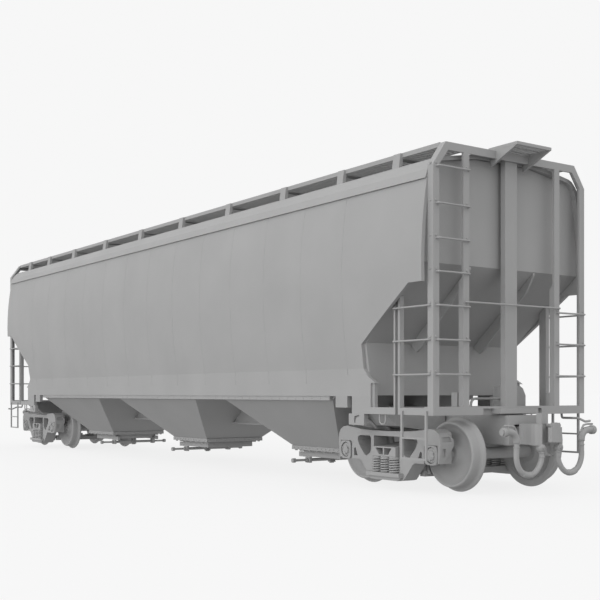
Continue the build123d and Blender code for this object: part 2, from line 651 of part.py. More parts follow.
def air_hoses():
    """Brake hoses hung beside the coupler with their angle cocks."""
    route = [(HOSE_X, 7.0, 8.9), (HOSE_X, 6.85, 5.4), (HOSE_X, 6.6, 3.12), (HOSE_X, 1.9, 3.12),
             (HOSE_X, 1.75, 5.3), (HOSE_X, 1.85, 7.1)]
    path = FilletPolyline(*route, radius=[1.2, 1.9, 1.9, 1.2])
    hose = sweep(Plane(origin=path @ 0, z_dir=path % 0) * Circle(HOSE_R), path=path)
    sleeve = rod((HOSE_X, 3.5, 3.12), (HOSE_X, 5.1, 3.12), 1.1)
    elbow = bent_rod([(HOSE_X, 6.98, 7.6), (HOSE_X, 7.1, 9.1), (HOSE_X, 9.7, 9.1)], 1.2, 1.1)
    ring = rod((HOSE_X, 8.9, 9.1), (HOSE_X, 9.9, 9.1), 1.5)
    handle = bent_rod([(HOSE_X, 6.75, 8.4), (HOSE_X, 6.9, 9.8), (HOSE_X, 9.4, 9.95)], 0.36, 0.3)
    return both_sides([fused([hose, sleeve, elbow, ring, handle])])


def uncoupling_lever():
    """Bent lever from the side handle to the top of the coupler."""
    points = [(88.0, 16.2, 10.2), (88.0, 15.1, 10.1), (87.6, 13.9, LEVER_LOW_Z),
              (LEVER_X, 13.5, LEVER_LOW_Z), (LEVER_X, 13.3, LEVER_Z), (LEVER_X, 4.6, LEVER_Z),
              (LEVER_X, 4.4, LEVER_LOW_Z), (88.8, 4.2, LEVER_LOW_Z), (90.9, 2.2, 11.0)]
    return [bent_rod(points, LEVER_D, 0.25)]


# ---------------------------------------------------------------- trucks

def mirrored(points):
    """Right half of an outline with its mirror image, as one closed loop."""
    return points + [(-x, z) for x, z in reversed(points) if abs(x) > 0.001]


def end_hollows(side):
    """What is cut from a side frame's end face: its sloped inner corners and two pockets."""
    toe = [(9.4, 4.2), (12.2, 4.2), (10.3, 7.0), (10.3, 7.8), (12.2, 9.5), (9.4, 9.5)]
    cuts = [prism_x(toe, 11.6, 12.3), block(11.65, 12.3, 10.9, 12.5, 7.5, 8.2),
            block(11.7, 12.3, 11.9, 12.6, 5.3, 6.5)]
    whole = fused(cuts)
    return whole if side > 0 else mirror(whole, about=Plane.YZ)


def side_frame():
    """Cast side frame with windows, pedestal jaws and the spring seat."""
    half = [(0, 8.75), (5.6, 8.85), (8.2, 9.15), (9.8, 9.35), (10.8, 9.2), (11.5, 8.8), (11.95, 8.1),
            (12.05, 7.2), (12.0, 6.2), (11.75, 4.35), (11.45, 4.35), (11.45, 7.0), (8.75, 7.0),
            (8.55, 6.8), (8.55, 4.2), (6.5, 4.2), (6.0, 3.9), (4.4, 1.95), (4.0, 1.5), (3.3, 1.35),
            (0, 1.35)]
    frame = prism_y(mirrored(half), FRAME_Y0, FRAME_Y1)
    frame = frame - block(-3.05, 3.05, 9, 14, SPRING_Z0, 8.0)
    for side in (-1, 1):
        window = [(3.75, 7.6), (4.05, 7.95), (6.4, 7.95), (7.0, 7.75), (7.1, 7.2), (6.6, 6.3), (5.3, 4.9),
                  (4.8, 4.8), (4.0, 5.3), (3.75, 5.8)]
        eye = [(7.1, 4.7), (8.05, 4.7), (8.05, 5.8), (7.7, 6.0)]
        for hole in (window, eye):
            frame = frame - prism_y([(side * x, z) for x, z in hole], 9, 14)
        frame = frame - end_hollows(side)
    seat = block(-3.9, 3.9, 9.9, 13.9, 1.9, SPRING_Z0)
    rim = prism_y([(-3.2, 1.35), (3.2, 1.35), (3.9, 1.9), (-3.9, 1.9)], FRAME_Y1, 13.5)
    return frame + seat + rim


def truck_bolster():
    """Bolster with its centre bowl, side bearings and ribbed ends."""
    top = [(-13.6, 4.95), (-9.5, 4.95), (-7.0, 4.2), (7.0, 4.2), (9.5, 4.95), (13.6, 4.95), (13.6, 6.4),
           (10.2, 6.55), (4.0, BOWL_Z), (-4.0, BOWL_Z), (-10.2, 6.55), (-13.6, 6.4)]
    beam = prism_x(top, -BOLSTER_X + 0.1, BOLSTER_X - 0.1)
    bowl = rod((0, 0, BOWL_Z), (0, 0, 8.1), 5.2) - rod((0, 0, BOWL_Z), (0, 0, 9), 4.2)
    pads = both_sides([block(-1.1, 1.1, 5.7, 7.3, 6.9, 8.55)])
    pocket = [(0.15, 6.2), (1.9, 6.2), (1.1, 5.2), (0.15, 5.2)]
    hole = rod((0, 0, 3), (0, 0, 9), 2 * (KINGPIN_R + FIT))
    whole = fused([beam, bowl] + pads) - hole
    for side in (-1, 1):
        dent = prism_y([(side * x, z) for x, z in pocket], 12.2, 13.7)
        whole = (whole - dent) - mirror(dent, about=Plane.XZ)
    return whole


def spring(x, y):
    """Coil spring as a column with one rounded groove for each turn."""
    turns = 6
    pitch = (SPRING_Z1 - SPRING_Z0) / turns
    edge = [(0, SPRING_Z0)]
    for step in range(turns):
        z = SPRING_Z0 + step * pitch
        edge = edge + [(SPRING_R * 0.86, z), (SPRING_R, z + pitch * 0.3), (SPRING_R, z + pitch * 0.7)]
    edge = edge + [(SPRING_R * 0.86, SPRING_Z1), (0, SPRING_Z1)]
    outline = Face(Wire.make_polygon([Vector(r, 0, z) for r, z in edge], close=True))
    return Pos(x, y, 0) * revolve(outline, Axis.Z, 360)


def springs():
    """Six springs under each bolster end."""
    return both_sides([spring(x, y) for x in (-2.03, 0, 2.03) for y in (10.9, 12.95)])


def bearing_adapters():
    """Saddles between the pedestal roofs and the roller bearings."""
    pieces = []
    for side in (-1, 1):
        x = side * AXLE_DX
        saddle = block(x - 1.3, x + 1.3, 10.7, 12.7, 5.9, 7.0)
        bore = rod((x, 9, AXLE_Z), (x, 14, AXLE_Z), 2 * (BEARING_R + FIT))
        pieces.append(saddle - bore)
    return both_sides(pieces)


def brake_beams():
    """Brake beams with a shoe facing each wheel tread."""
    pieces = []
    for side in (-1, 1):
        beam = block(-5.2, -4.1, -9.8, 9.8, 2.0, 2.9)
        strut = block(-4.1, -3.2, -1.0, 1.0, 2.0, 3.4)
        shoes = both_sides([rod((-AXLE_DX, 8.2, AXLE_Z), (-AXLE_DX, 9.3, AXLE_Z), 11.5)
                            & block(-8, -4.1, 8, 10, 2.4, 5.2)])
        clear = rod((-AXLE_DX, -10, AXLE_Z), (-AXLE_DX, 10, AXLE_Z), 2 * (TREAD_R + 0.2))
        beam = fused([beam, strut] + [shoe - clear for shoe in shoes])
        pieces.append(Rot(0, 0, 0 if side < 0 else 180) * beam)
    return pieces


def wheelset():
    """Axle, two flanged wheels and two roller bearings, about the truck's own origin."""
    at = (0, 0, AXLE_Z)
    half = [(0, 0), (0, AXLE_R), (9.7, AXLE_R), (9.9, JOURNAL_R), (13.25, JOURNAL_R), (13.25, 0)]
    axle = turned(half, at)
    axle = axle + mirror(axle, about=Plane.XZ)
    wheel = [(6.9, AXLE_R), (6.9, 1.65), (7.35, 2.0), (7.7, 3.0), (7.6, 3.9), (WHEEL_Y0, 4.4),
             (WHEEL_Y0, 5.2), (7.3, 5.45), (7.45, FLANGE_R), (7.6, FLANGE_R), (7.8, 5.35), (7.95, 5.1),
             (8.2, 5.0), (WHEEL_Y1 - 0.1, TREAD_R - 0.12), (WHEEL_Y1, TREAD_R - 0.25), (WHEEL_Y1, 4.5),
             (9.15, 4.25), (8.8, 3.7), (8.6, 3.0), (8.6, 2.3), (8.85, 1.85), (9.3, 1.65),
             (WHEEL_Y1, 1.5), (WHEEL_Y1, AXLE_R)]
    bearing = [(10.5, JOURNAL_R), (10.5, 1.15), (10.75, BEARING_R), (12.65, BEARING_R), (12.8, 1.15),
               (13.25, 1.05), (13.25, JOURNAL_R)]
    return [axle] + both_sides([turned(wheel, at), turned(bearing, at)])


# ---------------------------------------------------------------- nodes

os.makedirs("parts", exist_ok=True)

save("side_sheets", side_sheets())
save("roof_sheets", roof_sheets())
save("hatch_coamings", hatch_coamings())
save("hatch_hinge_pins", hatch_hinge_pins())
save("running_boards", running_boards())
save("running_board_brackets", running_board_brackets())
save("end_platforms", end_platforms())
save("end_sheets", end_sheets())
save("end_slope_sheets", end_slope_sheets())
save("slope_stiffeners", slope_stiffeners())
save("bulkheads", bulkheads())
save("hopper_sheets", [hopper_sheets(bay) for bay in BAYS])
save("outlet_frames", [outlet_frame(bay, way) for bay, way in zip(BAYS, GATE_WAY)])
save("center_sill", center_sill())
save("side_sills", side_sills())
save("end_sills", end_sills())
save("sill_extensions", sill_extensions())
save("body_bolsters", body_bolsters())
save("jacking_pads", jacking_pads())
save("corner_posts", corner_posts())
save("top_chords", top_chords())
save("end_posts", end_posts())
save("end_ladder_rungs", end_ladder_rungs())
save("side_ladders", side_ladders())
save("sill_steps", sill_steps())
save("draft_boxes", draft_boxes())
save("lever_brackets", lever_brackets())
save("brake_valve", brake_valve())
save("kingpins", kingpins())

for name, bay, way in zip(BAY_NAMES, BAYS, GATE_WAY):
    save("hatch_cover_" + name, hatch_cover(bay))
    save("gate_" + name, gate(bay, way))
    save("gate_shaft_" + name, gate_shaft(bay, way))

for end in ("a", "b"):
    turn = Rot(0, 0, 0 if end == "a" else 180)
    save("coupler_" + end, [turn * piece for piece in coupler()])
    save("knuckle_" + end, [turn * piece for piece in knuckle()])
    save("air_hoses_" + end, [turn * piece for piece in air_hoses()])
    save("uncoupling_lever_" + end, [turn * piece for piece in uncoupling_lever()])
    place = turn * Pos(TRUCK_X, 0, 0)
    save("truck_bolster_" + end, [place * truck_bolster()])
    save("side_frames_" + end, [place * piece for piece in both_sides([side_frame()])])
    save("springs_" + end, [place * piece for piece in springs()])
    save("bearing_adapters_" + end, [place * piece for piece in bearing_adapters()])
    save("brake_beams_" + end, [place * piece for piece in brake_beams()])
    save("wheelset_" + end + "1", [place * Pos(AXLE_DX, 0, 0) * piece for piece in wheelset()])
    save("wheelset_" + end + "2", [place * Pos(-AXLE_DX, 0, 0) * piece for piece in wheelset()])
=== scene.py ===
import bpy
import bmesh
import json
import math
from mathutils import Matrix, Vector


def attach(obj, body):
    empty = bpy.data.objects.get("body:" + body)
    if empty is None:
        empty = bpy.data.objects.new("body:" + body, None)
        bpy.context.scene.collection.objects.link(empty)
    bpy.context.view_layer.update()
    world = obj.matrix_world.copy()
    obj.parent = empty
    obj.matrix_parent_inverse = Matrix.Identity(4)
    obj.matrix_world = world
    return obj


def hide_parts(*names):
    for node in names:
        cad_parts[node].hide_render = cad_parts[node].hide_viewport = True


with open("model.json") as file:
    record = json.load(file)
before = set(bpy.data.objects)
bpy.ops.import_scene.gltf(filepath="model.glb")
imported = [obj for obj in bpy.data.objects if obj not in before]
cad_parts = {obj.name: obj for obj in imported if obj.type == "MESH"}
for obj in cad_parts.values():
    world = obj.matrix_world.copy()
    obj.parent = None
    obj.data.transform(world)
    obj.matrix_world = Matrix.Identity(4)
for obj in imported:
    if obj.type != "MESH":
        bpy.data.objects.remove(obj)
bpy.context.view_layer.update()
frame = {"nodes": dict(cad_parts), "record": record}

MM = 0.001


# ---------------------------------------------------------------- camera, floor and light

SENSOR = 36
LENS = 61.218
LENS_SHIFT = (-0.0071, 0.1555)
CLIP = (0.005, 20)
CAMERA_AT = (0.193369, -0.112909, 0.014523)
CAMERA_TILT = 90
CAMERA_TURN = 54.861
FLOOR_HALF = 6
FLOOR_Z = -0.0002
FLOOR_GREY = 0.12
FLOOR_GLOW = 0.815
WORLD_HIGH = 0.93
WORLD_LOW = 0.34
HORIZON = (0.42, 0.49)
KEY_TOWARDS = (-0.05, 1.0, -0.18)
KEY_STRENGTH = 0.95
KEY_ANGLE = 50


def add_camera():
    """Level camera near one end of the car, with its view shifted up."""
    data = bpy.data.cameras.new("camera")
    data.sensor_width = SENSOR
    data.lens = LENS
    data.shift_x, data.shift_y = LENS_SHIFT
    data.clip_start, data.clip_end = CLIP
    camera = bpy.data.objects.new("camera", data)
    bpy.context.collection.objects.link(camera)
    camera.location = CAMERA_AT
    camera.rotation_euler = (math.radians(CAMERA_TILT), 0, math.radians(CAMERA_TURN))
    bpy.context.scene.camera = camera


def add_floor():
    """Pale ground with a glow of its own, just below the wheels."""
    mesh = bpy.data.meshes.new("floor")
    corners = [(-FLOOR_HALF, -FLOOR_HALF, 0), (FLOOR_HALF, -FLOOR_HALF, 0),
               (FLOOR_HALF, FLOOR_HALF, 0), (-FLOOR_HALF, FLOOR_HALF, 0)]
    mesh.from_pydata(corners, [], [(0, 1, 2, 3)])
    floor = bpy.data.objects.new("floor", mesh)
    bpy.context.collection.objects.link(floor)
    floor.location.z = FLOOR_Z
    material = bpy.data.materials.new("floor_paper")
    material.use_nodes = True
    shader = material.node_tree.nodes["Principled BSDF"]
    shader.inputs["Base Color"].default_value = (FLOOR_GREY, FLOOR_GREY, FLOOR_GREY, 1)
    shader.inputs["Roughness"].default_value = 1
    shader.inputs["Specular IOR Level"].default_value = 0
    shader.inputs["Emission Color"].default_value = (1, 1, 1, 1)
    shader.inputs["Emission Strength"].default_value = FLOOR_GLOW
    mesh.materials.append(material)
    floor.visible_diffuse = False
    floor.visible_glossy = False


def add_world():
    """Even studio light, bright from above and dim from below."""
    world = bpy.data.worlds.new("studio")
    bpy.context.scene.world = world
    world.use_nodes = True
    tree = world.node_tree
    sky = tree.nodes["Background"]
    coords = tree.nodes.new("ShaderNodeTexCoord")
    split = tree.nodes.new("ShaderNodeSeparateXYZ")
    ramp = tree.nodes.new("ShaderNodeValToRGB")
    ramp.color_ramp.elements[0].position = HORIZON[0]
    ramp.color_ramp.elements[0].color = (WORLD_LOW, WORLD_LOW, WORLD_LOW, 1)
    ramp.color_ramp.elements[1].position = HORIZON[1]
    ramp.color_ramp.elements[1].color = (WORLD_HIGH, WORLD_HIGH, WORLD_HIGH, 1)
    scale = tree.nodes.new("ShaderNodeMath")
    scale.operation = "MULTIPLY_ADD"
    scale.inputs[1].default_value = 0.5
    scale.inputs[2].default_value = 0.5
    tree.links.new(coords.outputs["Generated"], split.inputs[0])
    tree.links.new(split.outputs["Z"], scale.inputs[0])
    tree.links.new(scale.outputs[0], ramp.inputs["Fac"])
    tree.links.new(ramp.outputs["Color"], sky.inputs["Color"])


def add_sun(name, towards, strength, angle):
    """Soft sun shining along a direction."""
    data = bpy.data.lights.new(name, "SUN")
    data.energy = strength
    data.angle = math.radians(angle)
    sun = bpy.data.objects.new(name, data)
    bpy.context.collection.objects.link(sun)
    sun.rotation_euler = Vector(towards).to_track_quat("-Z", "Y").to_euler()


add_camera()
add_floor()
add_world()
add_sun("key", KEY_TOWARDS, KEY_STRENGTH, KEY_ANGLE)
bpy.context.scene.view_settings.view_transform = "Standard"


# ---------------------------------------------------------------- materials

CLOUD_SCALE = 90
CLOUD_DETAIL = 5
CLOUD_BAND = (0.3, 0.7)
GRAIN_SCALE = 2600
GRAIN_DETAIL = 3
GRAIN_HIGH = 0.00004
ROUGHNESS_SPREAD = 0.06
SPECULAR = 0.25


def grey_plastic(name, grey, mottle, grain, roughness):
    """Matte moulded plastic with a fine grain and faint tone changes."""
    material = bpy.data.materials.new(name)
    material.use_nodes = True
    tree = material.node_tree
    shader = tree.nodes["Principled BSDF"]
    coords = tree.nodes.new("ShaderNodeTexCoord")
    cloud = tree.nodes.new("ShaderNodeTexNoise")
    cloud.inputs["Scale"].default_value = CLOUD_SCALE
    cloud.inputs["Detail"].default_value = CLOUD_DETAIL
    ramp = tree.nodes.new("ShaderNodeValToRGB")
    low = grey * (1 - mottle)
    high = grey * (1 + mottle)
    ramp.color_ramp.elements[0].position = CLOUD_BAND[0]
    ramp.color_ramp.elements[0].color = (low, low, low, 1)
    ramp.color_ramp.elements[1].position = CLOUD_BAND[1]
    ramp.color_ramp.elements[1].color = (high, high, high, 1)
    tooth = tree.nodes.new("ShaderNodeTexNoise")
    tooth.inputs["Scale"].default_value = GRAIN_SCALE
    tooth.inputs["Detail"].default_value = GRAIN_DETAIL
    spread = tree.nodes.new("ShaderNodeMapRange")
    spread.inputs["To Min"].default_value = roughness - ROUGHNESS_SPREAD
    spread.inputs["To Max"].default_value = roughness + ROUGHNESS_SPREAD
    bump = tree.nodes.new("ShaderNodeBump")
    bump.inputs["Strength"].default_value = grain
    bump.inputs["Distance"].default_value = GRAIN_HIGH
    tree.links.new(coords.outputs["Object"], cloud.inputs["Vector"])
    tree.links.new(coords.outputs["Object"], tooth.inputs["Vector"])
    tree.links.new(cloud.outputs["Fac"], ramp.inputs["Fac"])
    tree.links.new(ramp.outputs["Color"], shader.inputs["Base Color"])
    tree.links.new(tooth.outputs["Fac"], spread.inputs["Value"])
    tree.links.new(spread.outputs["Result"], shader.inputs["Roughness"])
    tree.links.new(tooth.outputs["Fac"], bump.inputs["Height"])
    tree.links.new(bump.outputs["Normal"], shader.inputs["Normal"])
    shader.inputs["Specular IOR Level"].default_value = SPECULAR
    return material


MATERIALS = {
    "sheet_grey": grey_plastic("sheet_grey", 0.400, 0.035, 0.25, 0.62),
    "frame_grey": grey_plastic("frame_grey", 0.395, 0.040, 0.30, 0.60),
    "gear_grey": grey_plastic("gear_grey", 0.385, 0.050, 0.45, 0.64),
    "truck_grey": grey_plastic("truck_grey", 0.390, 0.050, 0.55, 0.66),
    "wheel_grey": grey_plastic("wheel_grey", 0.390, 0.040, 0.30, 0.55),
    "hose_grey": grey_plastic("hose_grey", 0.380, 0.050, 0.35, 0.70),
}


def dress_nodes():
    """Give every CAD node the finish of its slot."""
    for row in frame["record"]["subparts"]:
        mesh = frame["nodes"][row["node"]].data
        mesh.materials.clear()
        mesh.materials.append(MATERIALS[row["material_slot"]])


dress_nodes()


# ---------------------------------------------------------------- mesh helpers

def add_box(mesh, low, high):
    """Closed box between two corners, in millimetres."""
    corners = [mesh.verts.new((x * MM, y * MM, z * MM))
               for x in (low[0], high[0]) for y in (low[1], high[1]) for z in (low[2], high[2])]
    for face in ((0, 1, 3, 2), (4, 6, 7, 5), (0, 4, 5, 1), (2, 3, 7, 6), (0, 2, 6, 4), (1, 5, 7, 3)):
        mesh.faces.new([corners[i] for i in face])


def add_bands(mesh, rings):
    """Faces between each ring and the next one."""
    for low, high in zip(rings[:-1], rings[1:]):
        count = len(low)
        for i in range(count):
            j = (i + 1) % count
            mesh.faces.new((low[i], low[j], high[j], high[i]))


def add_caps(mesh, rings):
    """Flat faces that close the first and the last ring."""
    mesh.faces.new(list(reversed(rings[0])))
    mesh.faces.new(rings[-1])


def add_ring(mesh, centre, across, side, radius, sides):
    """Ring of vertices round a centre, in millimetres."""
    ring = []
    for step in range(sides):
        turn = 2 * math.pi * step / sides
        offset = across * math.cos(turn) + side * math.sin(turn)
        ring.append(mesh.verts.new((centre + offset * radius) * MM))
    return ring


def add_prism(mesh, outline, along):
    """Closed prism from 3-D outline points pushed along a vector, in millimetres."""
    base = [Vector(point) for point in outline]
    low = [mesh.verts.new(point * MM) for point in base]
    high = [mesh.verts.new((point + Vector(along)) * MM) for point in base]
    add_caps(mesh, [low, high])
    add_bands(mesh, [low, high])


def add_tube(mesh, points, radius, sides=8):
    """Closed round tube that follows points, in millimetres."""
    points = [Vector(point) for point in points]
    rings = []
    across = None
    for i, point in enumerate(points):
        ahead = points[min(i + 1, len(points) - 1)] - points[max(i - 1, 0)]
        ahead.normalize()
        if across is None:
            across = ahead.orthogonal().normalized()
        across = (across - ahead * across.dot(ahead)).normalized()
        rings.append(add_ring(mesh, point, across, ahead.cross(across), radius, sides))
    add_bands(mesh, rings)
    add_caps(mesh, rings)


DOME_INSET = 0.45


def add_disc(mesh, centre, axis, radius, height, sides=12, crown=0.0):
    """Closed round head on a surface: a short turned shape with a domed or flat top."""
    axis = Vector(axis).normalized()
    across = axis.orthogonal().normalized()
    side = axis.cross(across)
    profile = [(radius, 0.0), (radius, height * (1 - crown)), (radius * (1 - DOME_INSET * crown), height)]
    rings = [add_ring(mesh, Vector(centre) + axis * up, across, side, size, sides) for size, up in profile]
    add_bands(mesh, rings)
    add_caps(mesh, rings)


def finish_piece(name, mesh, body, slot, replaces=(), smooth=False):
    """Turn a bmesh into a piece that rides on a body, with its slot's material."""
    bmesh.ops.recalc_face_normals(mesh, faces=mesh.faces)
    data = bpy.data.meshes.new(name)
    mesh.to_mesh(data)
    mesh.free()
    piece = bpy.data.objects.new(name, data)
    bpy.context.collection.objects.link(piece)
    data.materials.append(MATERIALS[slot])
    if smooth:
        data.shade_smooth()
    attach(piece, body)
    if replaces:
        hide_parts(*replaces)
    return piece


ENDS = (("a", 1), ("b", -1))


# ---------------------------------------------------------------- coil springs

TRUCK_X = 73.22
SPRING_Z = (2.5, 4.95)
SPRING_ROWS = (10.9, 12.95)
SPRING_COLUMNS = (-2.03, 0.0, 2.03)
SPRING_R = 0.85
WIRE_R = 0.14
SPRING_TURNS = 7.0
STEPS_PER_TURN = 16
FLAT_SHARE = 0.09
CORE_R = 0.42


def coil_path(x, y):
    """Centre line of one coil on a spring seat, flat at both ends."""
    steps = int(SPRING_TURNS * STEPS_PER_TURN)
    low = SPRING_Z[0] + WIRE_R
    high = SPRING_Z[1] - WIRE_R
    path = []
    for step in range(steps + 1):
        share = step / steps
        rise = min(max((share - FLAT_SHARE) / (1 - 2 * FLAT_SHARE), 0.0), 1.0)
        turn = 2 * math.pi * SPRING_TURNS * share
        path.append((x + SPRING_R * math.cos(turn), y + SPRING_R * math.sin(turn), low + (high - low) * rise))
    return path


def coil_springs():
    """Round-wire coils with a core each, between the spring seats and the bolster ends."""
    for end, way in ENDS:
        mesh = bmesh.new()
        for column in SPRING_COLUMNS:
            for row in SPRING_ROWS:
                for side in (-1, 1):
                    x = way * TRUCK_X + column
                    add_tube(mesh, coil_path(x, side * row), WIRE_R, 8)
                    centre = (x, side * row, SPRING_Z[0])
                    add_disc(mesh, centre, (0, 0, 1), CORE_R, SPRING_Z[1] - SPRING_Z[0], 14)
        finish_piece("coil_springs_" + end, mesh, "truck_" + end, "truck_grey", ("springs_" + end,),
                     smooth=True)


# ---------------------------------------------------------------- roof walkways

BOARD_END = 85.7
BOARD_Y = (8.6, 13.6)
BOARD_Z = (49.6, 50.27)
BAR_STEP = 0.9
BAR_HALF = 0.16
BAR_RISE = 0.3
BAR_DROP = 0.1
EDGE_WIDE = 0.28
ROD_HALF = 0.1
ROD_DROP = 0.02
LANES = 4

PLATFORM_X = (85.5, 91.2)
PLATFORM_HALF = 3.62
PLATFORM_Z = (50.33, 50.78)
RIM = 0.3
SLAT_HALF = 0.1
SLAT_INSET = 0.02
SLATS = 9
CROSS_BARS = 3
CROSS_DEEP = 0.16
GUSSET = [(PLATFORM_X[0], PLATFORM_Z[0]), (91.1, PLATFORM_Z[0]), (85.87, 48.0), (85.87, 49.0), (87.03, 49.0),
          (87.03, 50.14), (PLATFORM_X[0], 50.14)]
GUSSET_Y = 3.2
GUSSET_WIDE = 0.4


def walkways():
    """Grated walkways along both roof edges: cross bars between two edge bars, rods on top."""
    mesh = bmesh.new()
    inner, outer = BOARD_Y
    for side in (-1, 1):
        for edge in ((outer - EDGE_WIDE, outer), (inner, inner + EDGE_WIDE)):
            near, far = sorted((side * edge[0], side * edge[1]))
            add_box(mesh, (-BOARD_END, near, BOARD_Z[0]), (BOARD_END, far, BOARD_Z[1]))
        low, high = sorted((side * (inner + EDGE_WIDE), side * (outer - EDGE_WIDE)))
        count = int(2 * BOARD_END / BAR_STEP)
        for step in range(count):
            x = -BOARD_END + (step + 0.5) * 2 * BOARD_END / count
            add_box(mesh, (x - BAR_HALF, low, BOARD_Z[0] + BAR_RISE),
                    (x + BAR_HALF, high, BOARD_Z[1] - BAR_DROP))
        for lane in range(1, LANES):
            y = side * (inner + (outer - inner) * lane / LANES)
            add_box(mesh, (-BOARD_END, y - ROD_HALF, BOARD_Z[1] - BAR_DROP),
                    (BOARD_END, y + ROD_HALF, BOARD_Z[1] - ROD_DROP))
    finish_piece("roof_walkways", mesh, "car_body", "frame_grey", ("running_boards",))


def add_end_box(mesh, way, low, high):
    """Closed box given for the first end of the car and turned to the end that way says."""
    near, far = sorted((way * low[0], way * high[0]))
    add_box(mesh, (near, low[1], low[2]), (far, high[1], high[2]))


def platform_gratings():
    """End platforms: a rim, bearing bars, cross bars and two gussets each."""
    x0, x1 = PLATFORM_X
    z0, z1 = PLATFORM_Z
    half = PLATFORM_HALF
    for end, way in ENDS:
        mesh = bmesh.new()
        add_end_box(mesh, way, (x1 - RIM, -half, z0), (x1, half, z1))
        add_end_box(mesh, way, (x0, -half, z0), (x0 + RIM, half, z1))
        for side in (-1, 1):
            rim = sorted((side * (half - RIM), side * half))
            add_end_box(mesh, way, (x0 + RIM, rim[0], z0), (x1 - RIM, rim[1], z1))
        for step in range(1, SLATS):
            y = -half + 2 * half * step / SLATS
            add_end_box(mesh, way, (x0 + RIM, y - SLAT_HALF, z0 + SLAT_INSET),
                        (x1 - RIM, y + SLAT_HALF, z1 - SLAT_INSET))
        for step in range(1, CROSS_BARS):
            x = x0 + (x1 - x0) * step / CROSS_BARS
            add_end_box(mesh, way, (x - SLAT_HALF, -half + RIM, z0 + SLAT_INSET),
                        (x + SLAT_HALF, half - RIM, z0 + CROSS_DEEP))
        for side in (-1, 1):
            outline = [(way * x, side * GUSSET_Y, z) for x, z in GUSSET]
            add_prism(mesh, outline, (0, side * GUSSET_WIDE, 0))
        finish_piece("platform_grating_" + end, mesh, "car_body", "frame_grey",
                     ("end_platforms",) if end == "a" else ())


# ---------------------------------------------------------------- seams and fasteners

SEAM_X = (-67.0, -55.8, -44.6, -33.4, -22.2, -11.0, 0.2, 11.4, 22.6, 33.8, 45.0, 56.2, 67.4)
SLOPE_X = 64
SLOPE_FOOT_Z = 17


SEAM_Z = (16.1, 45.2)
SEAM_STEPS = 24
SEAM_R = 0.045
SEAM_SUNK = 0.02
SKIRT_Z = (16.05, 18.3)
SKIRT_Y = (15.95, 16.0)
BULGE_Z = 33
BULGE_Y = 17.2
LOWER_BULGE = (14.7, 1.2)
UPPER_BULGE = (12.3, 1.17)


def side_profile(z):
    """Outer face of the side sheet at a height."""
    if z < SKIRT_Z[1]:
        share = (z - SKIRT_Z[0]) / (SKIRT_Z[1] - SKIRT_Z[0])
        return SKIRT_Y[0] + (SKIRT_Y[1] - SKIRT_Y[0]) * share
    depth, drop = LOWER_BULGE if z < BULGE_Z else UPPER_BULGE
    radius = (depth ** 2 + drop ** 2) / (2 * drop)
    return BULGE_Y - radius + math.sqrt(radius ** 2 - (z - BULGE_Z) ** 2)


def panel_seams():
    """Faint raised weld seams down the side sheets."""
    mesh = bmesh.new()
    heights = [SEAM_Z[0] + (SEAM_Z[1] - SEAM_Z[0]) * k / SEAM_STEPS for k in range(SEAM_STEPS + 1)]
    for side in (-1, 1):
        for x in SEAM_X:
            path = [(x, side * (side_profile(z) - SEAM_SUNK), z)
                    for z in heights if abs(x) < SLOPE_X or z > SLOPE_FOOT_Z]
            add_tube(mesh, path, SEAM_R, 6)
    finish_piece("panel_seams", mesh, "car_body", "sheet_grey", smooth=True)


RUNG_ROWS = (46.5, 41.25, 36.35, 31.65, 26.9, 22.07, 17.19)
SHORT_ROWS = RUNG_ROWS[4:]
POST_FACE_X = 87.03
LADDER_POSTS = (-15.5, -9.5)
SHORT_POSTS = (9.6, 15.7)
SIDE_RUNG = (86.4, 16.0)
BOLT_R = 0.2
BOLT_HIGH = 0.1
BOLT_DOME = 0.6
BOLT_RISE = 0.45
SIDE_BOLT_RISE = 0.4


def add_bolt(mesh, centre, axis):
    """Domed bolt head of a ladder rung."""
    add_disc(mesh, centre, axis, BOLT_R, BOLT_HIGH, 10, BOLT_DOME)


def rung_bolts():
    """Bolt heads where the ladder rungs meet the posts."""
    mesh = bmesh.new()
    for _, way in ENDS:
        for z in RUNG_ROWS:
            for y in LADDER_POSTS:
                add_bolt(mesh, (way * POST_FACE_X, way * y, z + BOLT_RISE), (way, 0, 0))
            add_bolt(mesh, (way * SIDE_RUNG[0], -way * SIDE_RUNG[1], z + SIDE_BOLT_RISE), (0, -way, 0))
        for z in SHORT_ROWS:
            for y in SHORT_POSTS:
                add_bolt(mesh, (way * POST_FACE_X, way * y, z + BOLT_RISE), (way, 0, 0))
    finish_piece("rung_bolts", mesh, "car_body", "frame_grey")


# ---------------------------------------------------------------- wheels and bearings

AXLE_DX = 10.095
AXLE_Z = 5.534
AXLE = [(-13.2, 0.7), (-9.9, 0.7), (-9.7, 0.93), (-6.0, 0.93), (-1.0, 0.86), (1.0, 0.86), (6.0, 0.93),
        (9.7, 0.93), (9.9, 0.7), (13.2, 0.7)]
WHEEL = [(6.9, 0.93), (6.9, 1.65), (7.2, 1.9), (7.5, 2.3), (7.7, 2.9), (7.7, 3.4), (7.6, 3.9), (7.35, 4.25),
         (7.2, 4.45), (7.2, 5.2), (7.27, 5.4), (7.38, 5.5), (7.52, 5.534), (7.66, 5.48), (7.8, 5.35),
         (7.92, 5.15), (8.1, 5.03), (8.4, 4.99), (9.2, 4.86), (9.33, 4.8), (9.4, 4.7), (9.4, 4.5),
         (9.3, 4.36), (9.1, 4.2), (8.85, 3.85), (8.68, 3.4), (8.6, 2.9), (8.62, 2.3), (8.8, 1.92),
         (9.1, 1.7), (9.33, 1.6), (9.4, 1.45), (9.4, 0.93)]
